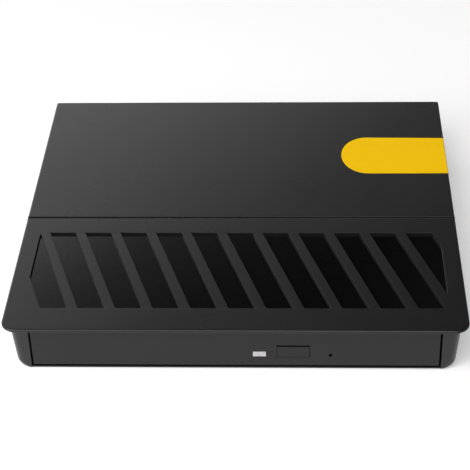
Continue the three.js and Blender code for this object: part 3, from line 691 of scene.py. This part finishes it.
def make_inlay(materials):
    outline = inlay_outline(0, LID_HALF)
    floor = LID_TOP - POCKET_DEPTH
    top_radii = [RIM_RADIUS if x == LID_HALF else 0.05 for x, _ in outline]
    inlay = plate([(outline, [edge_profile(floor, LID_TOP, 0.02, radius, 5) for radius in top_radii])])
    piece(inlay, "inlay_strip", "case", materials["yellow"], ["accent_inlay"])


# ------------------------------------------------------------------------------- bottom shell
def corner_inset(height, radius):
    """How far a rounded bottom edge stands back at a height above the bottom."""
    if height >= radius:
        return 0.0
    return radius - math.sqrt(max(radius**2 - (radius - height) ** 2, 0.0))


def tub_rings(inset, bottom, top, side_radius, front_radius, rear_radius, corners):
    """Closed outlines up the tub: side walls lean by the draft, bottom edges are rounded."""
    arc_steps = 10
    heights = {side_radius * (1 - math.cos(math.radians(90 * i / arc_steps))) for i in range(arc_steps + 1)}
    heights |= {front_radius, rear_radius, rear_radius * 0.4, top - bottom}
    rings = []
    for height in sorted(heights):
        z = bottom + height
        half = TUB_HALF - inset - (TUB_TOP - z) * TUB_DRAFT - corner_inset(height, side_radius)
        front = TUB_LOW.y + inset + corner_inset(height, front_radius)
        rear = TUB_HIGH.y - inset - corner_inset(height, rear_radius)
        outline = rounded_rectangle(-half, half, front, rear, *corners, 10)
        rings.append([(x, y, z) for x, y in outline])
    return rings


def usb_port_cutter():
    low, high = node_box("usb_socket_shell")
    gap = 0.35
    outline = rounded_rectangle(low.x - gap, high.x + gap, low.z - gap, high.z + gap, 1.6, 1.6, 6)
    return prism_y(outline, 65, 70)


def seat_cutters():
    """Round seats for the feet and stepped holes for the case screws."""
    cutters = []
    for corner in CORNERS:
        foot, foot_top = node_middle(f"foot_{corner}"), node_box(f"foot_{corner}")[1].z
        screw = node_middle(f"case_screw_{corner}")
        cutters.append(turned([(4.65, 0), (4.65, foot_top + 0.05)], foot.x, foot.y, 48))
        cutters.append(turned([(2.2, 0), (2.2, 1.8)], screw.x, screw.y, 32))
        cutters.append(turned([(1.2, 0), (1.2, 4)], screw.x, screw.y, 24))
    return cutters


def make_tub(materials):
    shell = loft(tub_rings(0, TUB_BOTTOM, TUB_TOP, 2.6, 0.2, 2.0, (3.0, 3.5)))
    hollow = loft(tub_rings(TUB_WALL, TUB_FLOOR, TUB_TOP + 1, 1.4, 0.4, 0.6, (1.2, 1.7)))
    mouth = block(-MOUTH_HALF, MOUTH_HALF, -70, -60, MOUTH_BOTTOM, 20)
    set_back = block(-MOUTH_HALF, MOUTH_HALF, -70, TUB_LOW.y + LIP_SET_BACK, 0, 5)
    board_ribs = [block(x, x + 1.6, 52, 67, TUB_FLOOR - 0.2, 4.1) for x in (-62, -50)]
    carve(shell, [hollow])
    carve(shell, (), board_ribs)
    carve(shell, [mouth, set_back, usb_port_cutter()] + seat_cutters())
    bevel(shell, 0.12, 2, 40)
    piece(shell, "tub_moulding", "case", materials["shell"], ["bottom_shell"])


def make_feet(materials):
    for corner in CORNERS:
        low, high = node_box(f"foot_{corner}")
        middle = node_middle(f"foot_{corner}")
        radius = (high.x - low.x) / 2
        profile = [(radius - 1.1, low.z), (radius - 0.5, low.z + 0.08), (radius - 0.15, low.z + 0.25),
                   (radius, low.z + 0.5), (radius, high.z)]
        foot = turned(profile, middle.x, middle.y, 48)
        piece(foot, f"rubber_foot_{corner}", "case", materials["rubber"], [f"foot_{corner}"])


def cross_recess(x, y, z0, z1, reach, width):
    """The two arms of a cross-head screw's recess."""
    return [block(x - reach, x + reach, y - width, y + width, z0, z1),
            block(x - width, x + width, y - reach, y + reach, z0, z1)]


def make_case_screws(materials):
    for corner in CORNERS:
        low, high = node_box(f"case_screw_{corner}")
        middle = node_middle(f"case_screw_{corner}")
        profile = [(1.45, low.z), (1.75, low.z + 0.12), (1.9, low.z + 0.35), (1.9, low.z + 0.65)]
        thread = low.z + 0.65
        while thread < high.z - 0.25:
            profile += [(0.78, thread + 0.02), (0.95, thread + 0.13)]
            thread += 0.25
        profile += [(0.6, high.z)]
        screw = turned(profile, middle.x, middle.y, 28)
        carve(screw, cross_recess(middle.x, middle.y, low.z - 0.3, low.z + 0.45, 1.0, 0.2))
        piece(screw, f"cross_screw_{corner}", "case", materials["steel"],
              [f"case_screw_{corner}"])


# ------------------------------------------------------------------------------- bezel
def behind_face(loops):
    """A plate drawn in (x, z) and stood up; its heights are measured forward of the bezel's face."""
    obj = plate(loops)
    turn = Matrix.Rotation(math.radians(90), 4, "X")
    obj.data.transform(Matrix.Translation((0, BEZEL_LOW.y, 0)) @ turn)
    return obj


def block_behind_face(x0, x1, near, far, z0, z1):
    return block(x0, x1, BEZEL_LOW.y + near, BEZEL_LOW.y + far, z0, z1)


def rectangle_loop(x0, x1, z0, z1, radius):
    return rounded_rectangle(x0, x1, z0, z1, radius, radius, 4)


def button_box(left=0.0, right=0.0, bottom=0.0, top=0.0):
    """The button's rectangle, grown by a gap on each side."""
    x, half = BUTTON["x"], BUTTON["width"] / 2
    return x - half - left, x + half + right, BUTTON["bottom"] - bottom, BUTTON["top"] + top


def led_box(gap=0.0):
    half, half_height = LED["width"] / 2 + gap, LED["height"] / 2 + gap
    return LED["x"] - half, LED["x"] + half, LED["z"] - half_height, LED["z"] + half_height


def make_bezel(materials):
    half, wall = BEZEL_HIGH.x, 1.2
    outline = rectangle_loop(-half, half, BEZEL_LOW.z, BEZEL_HIGH.z, 0.5)
    holes = [
        (rectangle_loop(*button_box(**BUTTON_GAPS), 0.12), 0.03),
        (rectangle_loop(*led_box(LED["gap"]), 0.2), 0.05),
        (circle(PINHOLE["x"], PINHOLE["z"], PINHOLE["radius"], 24), 0.12),
    ]
    loops = [same_edge(outline, edge_profile(-BEZEL_THICKNESS, 0, 0.05, 0.3))]
    for hole, radius in holes:
        loops.append(same_edge(hole, edge_profile(-BEZEL_THICKNESS, 0, 0.02, radius)))

    inner = rectangle_loop(-half + wall, half - wall, BEZEL_LOW.z + wall, BEZEL_HIGH.z - wall, 0.4)
    depth = BEZEL_HIGH.y - BEZEL_LOW.y
    return_edges = edge_profile(-depth, -BEZEL_THICKNESS + 0.02, 0.1, 0.0)
    returns = behind_face([same_edge(outline, return_edges), same_edge(inner, return_edges)])
    bezel = join([behind_face(loops), returns])
    piece(bezel, "bezel_moulding", "tray", materials["bezel"], ["front_bezel"])


def make_button(materials):
    cap_back = BUTTON["recess"] + BUTTON["cap_thickness"]
    cap_edges = edge_profile(-cap_back, -BUTTON["recess"], 0.03, 0.04, 3)
    cap = behind_face([same_edge(rectangle_loop(*button_box(), 0.1), cap_edges)])
    left, right, bottom, _ = button_box(left=-1, right=-1)
    web = block_behind_face(left, right, cap_back - 0.02, 2.2, bottom, 7.6)
    flange = block_behind_face(BUTTON_LOW.x, BUTTON_HIGH.x, 1.9, 2.6, bottom - 0.2, 7.8)
    stem = block(BUTTON["x"] - 1.2, BUTTON["x"] + 1.2, BEZEL_LOW.y + 2.4, BUTTON_HIGH.y, 6.0, 7.6)
    button = join([cap, web, flange, stem])
    piece(button, "button_moulding", "eject_button", materials["bezel"], ["eject_button"])


def make_indicator(materials):
    low, high = node_box("led_light_pipe")
    window = rectangle_loop(*led_box(), 0.15)
    lens = behind_face([same_edge(window, edge_profile(-1.8, -0.03, 0.02, 0.12))])
    back = block_behind_face(low.x, high.x, 1.65, 2.3, low.z, high.z)
    guide = block(LED["x"] - 1, LED["x"] + 1, BEZEL_LOW.y + 2.2, high.y, LED["z"] - 0.6, LED["z"] + 0.6)
    pipe = join([lens, back, guide])
    piece(pipe, "indicator_lens", "tray", materials["led"], ["led_light_pipe"])


# ------------------------------------------------------------------------------- tray
def tray_grooves():
    """Cutters for the grooves that the slide rails run in."""
    outside, floor = TRAY_HIGH.x + 1, RAIL_GROOVE["floor_x"] + 0.25
    low, high = RAIL_GROOVE["bottom"], RAIL_GROOVE["top"]
    return [block(floor, outside, -70, 70, low, high), block(-outside, -floor, -70, 70, low, high)]


def tray_underside():
    """Cutters that hollow the tray from below and cut away its rear left corner."""
    inner = TRAY_HIGH.x - 2.2
    below = TRAY_LOW.z - 1
    return [block(-inner, inner, TRAY_LOW.y + 1.4, TRAY_HIGH.y - 1.6, below, 9.0),
            block(-inner, inner, 28, TRAY_HIGH.y + 1, below, 7.2),
            block(-70, -40.8, 48.8, 70, 0, 20)]


def tray_front_openings():
    """Cutters through the front wall for the pin, the button and the light guide."""
    near, far = TRAY_LOW.y - 1, TRAY_LOW.y + 3
    return [rod_y([(1, near), (1, far)], PINHOLE["x"], PINHOLE["z"], 20),
            block(BUTTON["x"] - 6, BUTTON["x"] + 6, near, far, 3, 8.6),
            block(LED["x"] - 2.6, LED["x"] + 2.6, near, far, 4.9, 7.8)]


def make_tray(materials):
    """The disc carrier: two stepped wells, the pickup's opening and the hollow underneath."""
    half = TRAY_HIGH.x
    body = prism(rounded_rectangle(-half, half, TRAY_LOW.y, TRAY_HIGH.y, 0.6, 6, 10), TRAY_LOW.z, TRAY_HIGH.z)
    well = turned([(60.8, 10.2), (61.05, 15)], SPINDLE.x, SPINDLE.y, 160)
    small_well = turned([(41.3, 9.8), (41.75, 11)], SPINDLE.x, SPINDLE.y, 128)
    opening = to_traverse(prism(keyhole_outline(19, 12.4, -62.9), 7, 12))
    latch_pivot = turned([(1, 5.0), (1, 9.2)], 51.5, -54.5, 20)
    carve(body, [well, small_well, opening] + tray_underside() + tray_front_openings() + tray_grooves())
    carve(body, (), [latch_pivot])
    bevel(body, 0.18, 2, 40)
    piece(body, "tray_moulding", "tray", materials["tray"], ["tray"])


def keyhole_outline(radius, half_width, end, steps=72):
    """A circle with a straight slot towards local -Y."""
    meet = math.degrees(math.asin(half_width / radius))
    round_part = arc(0, 0, radius, -90 + meet, 270 - meet, steps)
    return [(-half_width, end), (half_width, end)] + round_part


# ------------------------------------------------------------------------------- disc motor and pickup
def make_traverse_cover(materials):
    outline = keyhole_outline(18.6, 12.0, -62.5)
    slot = rounded_rectangle(-6, 6, -60.7, -15.0, 1.2, 0.6, 6)
    sheet = rounded_plate(outline, 9.3, 9.7, 0.1)
    hub_hole = turned([(13.6, 9), (13.6, 10)], 0, 0, 72)
    carve(sheet, [hub_hole, prism(slot, 9, 10), block(-6, 6, -20, -8, 9, 10)])
    to_traverse(sheet)
    piece(sheet, "traverse_sheet", "tray", materials["steel"], ["traverse_cover"])


def spun(obj, angle):
    """Turned about the spindle's axis, in degrees."""
    obj.data.transform(Matrix.Rotation(math.radians(angle), 4, "Z"))
    return obj


def make_turntable(materials):
    boss = [(12.5, 7.3), (12.8, 7.5), (12.8, 9.8)]
    flange = [(14.7, 9.9), (15.0, 10.1), (15.0, 10.55), (14.85, 10.85), (14.5, 10.9), (14.5, 10.72)]
    deck = [(11.4, 10.72), (11.4, 10.9), (7.6, 10.9)]
    hub = [(7.45, 11.05), (7.45, 12.2), (7.3, 12.45), (6.5, 12.9), (6.0, 13.1), (3.2, 13.1), (3.0, 12.9)]
    middle = [(1.2, 12.9), (1.0, 13.0), (0.4, 13.05)]
    table = turned(boss + flange + deck + hub + middle, 0, 0, 96)
    carve(table, [spun(block(4.9, 9.5, -1.3, 1.3, 11.5, 12.7), angle) for angle in CLAW_ANGLES])
    bevel(table, 0.06, 2, 50)
    to_traverse(table)
    piece(table, "disc_turntable", "spindle", materials["tray"], ["turntable"], 30)


def make_friction_ring(materials):
    section = [(11.55, 10.8), (14.35, 10.8), (14.35, 11.0), (14.25, 11.05), (11.65, 11.05), (11.55, 11.0)]
    ring = to_traverse(turned(section, 0, 0, 96, closed=True))
    piece(ring, "friction_ring", "spindle", materials["rubber"], ["turntable_ring"])


def make_claws(materials):
    side = [(6.1, 11.8), (7.7, 11.8), (7.92, 11.88), (8.0, 12.02), (7.85, 12.25), (7.6, 12.4), (6.1, 12.4)]
    for number, angle in enumerate(CLAW_ANGLES, 1):
        claw = to_traverse(bevel(spun(prism_y(side, -1, 1), angle), 0.08, 2, 40))
        piece(claw, f"spring_claw_{number}", f"claw_{number}", materials["steel"],
              [f"hub_claw_{number}"])


def make_lens(materials):
    radius, base, crown = 2.05, 9.0, 0.55
    profile = [(1.9, 8.1), (radius, 8.25), (radius, base)]
    for step in range(1, 9):
        turn = math.radians(90 * step / 9)
        profile.append((radius * math.cos(turn), base + crown * math.sin(turn)))
    lens = to_traverse(turned(profile, 0, LENS_Y, 48))
    piece(lens, "pickup_lens", "lens", materials["lens"], ["objective_lens"])

    outline = rounded_rectangle(-4.2, 4.2, LENS_Y - 3, LENS_Y + 3, 1.1, 1.1, 6)
    holder = to_traverse(rounded_plate(outline, 7.8, 9.2, 0.15, [circle(0, LENS_Y, 2.3, 40)], 0.1))
    piece(holder, "lens_carrier", "lens", materials["chip"], ["lens_holder"])


def make_guide_rods(materials):
    profile = [(0.8, -61.3), (1.1, -61.0), (1.1, -12.6), (0.8, -12.3)]
    for x, name in ((ROD_X, "guide_rod_main"), (-ROD_X, "guide_rod_aux")):
        rod = to_traverse(rod_y(profile, x, ROD_Z, 40))
        piece(rod, f"polished_{name}", "tray", materials["steel"], [name])


def thread_radius(y, turn):
    """The leadscrew's radius: the thread climbs once around in each pitch."""
    wave = 1.6 * math.cos(turn - 2 * math.pi * y / SCREW["pitch"])
    return max(0.74 + 0.26 * max(-0.6, min(1.0, wave)), 0.6)


def make_screw(materials):
    turns = [2 * math.pi * step / SCREW["sides"] for step in range(SCREW["sides"])]
    sections = [(y, [radius] * len(turns)) for y, radius in ((-58.4, 0.45), (-58.3, 0.55), (-57.05, 0.55))]
    for index in range(SCREW["rings"] + 1):
        y = SCREW["start"] + (SCREW["end"] - SCREW["start"]) * index / SCREW["rings"]
        sections.append((y, [thread_radius(y, turn) for turn in turns]))
    rings = [[(SCREW["x"] + radius * math.cos(turn), y, ROD_Z + radius * math.sin(turn))
              for turn, radius in zip(turns, radii)] for y, radii in sections]
    screw = to_traverse(loft(rings))
    piece(screw, "feed_screw", "leadscrew", materials["steel"], ["leadscrew"], 60)


# ------------------------------------------------------------------------------- small parts, softened
# node, body, material, edge width
SOFTENED = [
    ("usb_socket_shell", "case", "steel", 0.08),
    ("usb_socket_tongue", "case", "chip", 0.05),
    ("bridge_board", "case", "board", 0.05),
    ("bridge_chip", "case", "chip", 0.08),
    ("board_link", "case", "acetal", 0.12),
    ("drive_chassis", "case", "zinc", 0.15),
    ("drive_cover", "case", "zinc", 0.12),
    ("rail_guide_left", "case", "acetal", 0.12),
    ("rail_guide_right", "case", "acetal", 0.12),
    ("drive_board", "case", "board", 0.05),
    ("controller_chip", "case", "chip", 0.08),
    ("motor_driver_chip", "case", "chip", 0.08),
    ("flex_connector", "case", "acetal", 0.12),
    ("slide_rail_left", "rails", "steel", 0.12),
    ("slide_rail_right", "rails", "steel", 0.12),
    ("tray_bottom_cover", "tray", "zinc", 0.08),
    ("front_board", "tray", "board", 0.05),
    ("eject_switch", "tray", "chip", 0.12),
    ("latch_solenoid", "tray", "copper", 0.15),
    ("latch_lever", "latch", "acetal", 0.1),
    ("traverse_plate", "tray", "zinc", 0.08),
    ("spindle_motor_base", "tray", "zinc", 0.1),
    ("feed_motor", "tray", "steel", 0.12),
    ("pickup_sled", "sled", "zinc", 0.15),
    ("feed_nut", "sled", "acetal", 0.1),
]


def softened(node_name, width):
    """A node's shape with its flat faces merged and its edges rounded."""
    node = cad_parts[node_name]
    bm = bmesh.new()
    bm.from_mesh(node.data)
    bm.transform(Matrix.Scale(1 / MM, 4) @ node.matrix_world)
    bmesh.ops.remove_doubles(bm, verts=bm.verts, dist=1e-3)
    bmesh.ops.dissolve_limit(bm, angle_limit=math.radians(1), verts=bm.verts, edges=bm.edges)
    return bevel(raw_object(bm), width, 2, 40)


def make_softened_parts(materials):
    for node_name, body, finish, width in SOFTENED:
        obj = softened(node_name, width)
        piece(obj, f"fine_{node_name}", body, materials[finish], [node_name])


# ------------------------------------------------------------------------------- studio
CAMERA_PLACE = (0.02058, -0.42452, 0.31063)
CAMERA_YAW = math.radians(-3.088)
CAMERA_PITCH = math.radians(35.731)
CAMERA_ROLL = math.radians(-1.784)
CAMERA_LENS = 115.1

# The room is a band of light: its level steps with how near a direction is to PATCH_DIRECTION.
PATCH_DIRECTION = (-0.7, 0.51, -0.5)
PATCH_STRENGTH = 2.0
PATCH_STEPS = [(0.0, 0.02), (0.08, 0.0), (0.14, 0.02), (0.19, 0.09), (0.225, 0.24), (0.255, 0.52),
               (0.285, 0.95), (0.32, 1.3), (0.35, 1.3), (0.4, 0.15), (0.5, 0.04), (1.0, 0.03)]
FLOOR_GLOW = 0.28

# Area lights: place and size in metres, power in watts. All of them face the origin.
LIGHTS = {
    "overhead": {"place": (-0.2, -0.75, 1.1), "size": (1.6, 1.1), "power": 17},
    "rear_left": {"place": (-0.72, 1.02, 0.38), "size": (0.6, 0.35), "power": 2},
    "left": {"place": (-0.45, -0.35, 0.22), "size": (0.25, 0.25), "power": 1.6},
}


def make_camera():
    data = bpy.data.cameras.new("view")
    data.lens = CAMERA_LENS
    data.sensor_width = 36
    data.clip_start = 0.01
    camera = bpy.data.objects.new("view", data)
    bpy.context.scene.collection.objects.link(camera)
    forward = Vector((math.sin(CAMERA_YAW) * math.cos(CAMERA_PITCH),
                      math.cos(CAMERA_YAW) * math.cos(CAMERA_PITCH), -math.sin(CAMERA_PITCH)))
    level = Vector((math.cos(CAMERA_YAW), -math.sin(CAMERA_YAW), 0))
    upward = level.cross(forward)
    right = level * math.cos(CAMERA_ROLL) + upward * math.sin(CAMERA_ROLL)
    up = right.cross(forward)
    turn = Matrix((right, up, -forward)).transposed().to_4x4()
    camera.matrix_world = Matrix.Translation(CAMERA_PLACE) @ turn
    bpy.context.scene.camera = camera


def area_light(name, place, size, power):
    data = bpy.data.lights.new(name, "AREA")
    data.shape = "RECTANGLE"
    data.size, data.size_y = size
    data.energy = power
    light = bpy.data.objects.new(name, data)
    bpy.context.scene.collection.objects.link(light)
    light.location = place
    light.rotation_euler = (-Vector(place)).to_track_quat("-Z", "Y").to_euler()


def make_floor():
    floor = block(-4000, 4000, -4000, 4000, -20, 0)
    floor.name = "studio_floor"
    floor.data.transform(Matrix.Scale(MM, 4))
    finish = Finish("floor_paper", 0.9)
    cloud = finish.noise(3.0, 2.0)
    finish.colours(cloud, (0.88, 0.88, 0.88, 1), (0.9, 0.9, 0.9, 1))
    finish.shader.inputs["Emission Color"].default_value = (1, 1, 1, 1)
    finish.shader.inputs["Emission Strength"].default_value = FLOOR_GLOW
    floor.data.materials.append(finish.material)


def make_world():
    """A dim room with a soft band of light behind the drive on the left."""
    world = bpy.data.worlds.new("studio")
    world.use_nodes = True
    tree = world.node_tree
    background = tree.nodes["Background"]
    direction = tree.nodes.new("ShaderNodeTexCoord").outputs["Generated"]
    closeness = tree.nodes.new("ShaderNodeVectorMath")
    closeness.operation = "DOT_PRODUCT"
    closeness.inputs[1].default_value = PATCH_DIRECTION
    tree.links.new(direction, closeness.inputs[0])
    ramp = tree.nodes.new("ShaderNodeValToRGB")
    elements = ramp.color_ramp.elements
    elements[0].position, elements[1].position = PATCH_STEPS[0][0], PATCH_STEPS[-1][0]
    for position, _ in PATCH_STEPS[1:-1]:
        elements.new(position)
    for element, (_, level) in zip(elements, PATCH_STEPS):
        element.color = (level, level, level, 1)
    tree.links.new(closeness.outputs["Value"], ramp.inputs["Fac"])
    tree.links.new(ramp.outputs["Color"], background.inputs["Color"])
    background.inputs["Strength"].default_value = PATCH_STRENGTH
    bpy.context.scene.world = world


def make_studio():
    make_camera()
    make_floor()
    make_world()
    for name, light in LIGHTS.items():
        area_light(name, **light)
    bpy.context.scene.view_settings.view_transform = "Standard"


# ------------------------------------------------------------------------------- the CAD nodes that stay
def dress(name, material):
    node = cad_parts[name]
    if not node.material_slots:
        node.data.materials.append(material)
    for material_slot in node.material_slots:
        material_slot.material = material


def dress_kept_nodes(materials):
    for name in ("flex_fixed_run", "flex_loop", "flex_tail"):
        dress(name, materials["kapton"])


make_studio()
MATERIALS = make_materials()
make_lid(MATERIALS)
make_gloss_panel(MATERIALS)
make_inlay(MATERIALS)
make_tub(MATERIALS)
make_feet(MATERIALS)
make_case_screws(MATERIALS)
make_bezel(MATERIALS)
make_button(MATERIALS)
make_indicator(MATERIALS)
make_tray(MATERIALS)
make_traverse_cover(MATERIALS)
make_turntable(MATERIALS)
make_friction_ring(MATERIALS)
make_claws(MATERIALS)
make_lens(MATERIALS)
make_guide_rods(MATERIALS)
make_screw(MATERIALS)
make_softened_parts(MATERIALS)
dress_kept_nodes(MATERIALS)
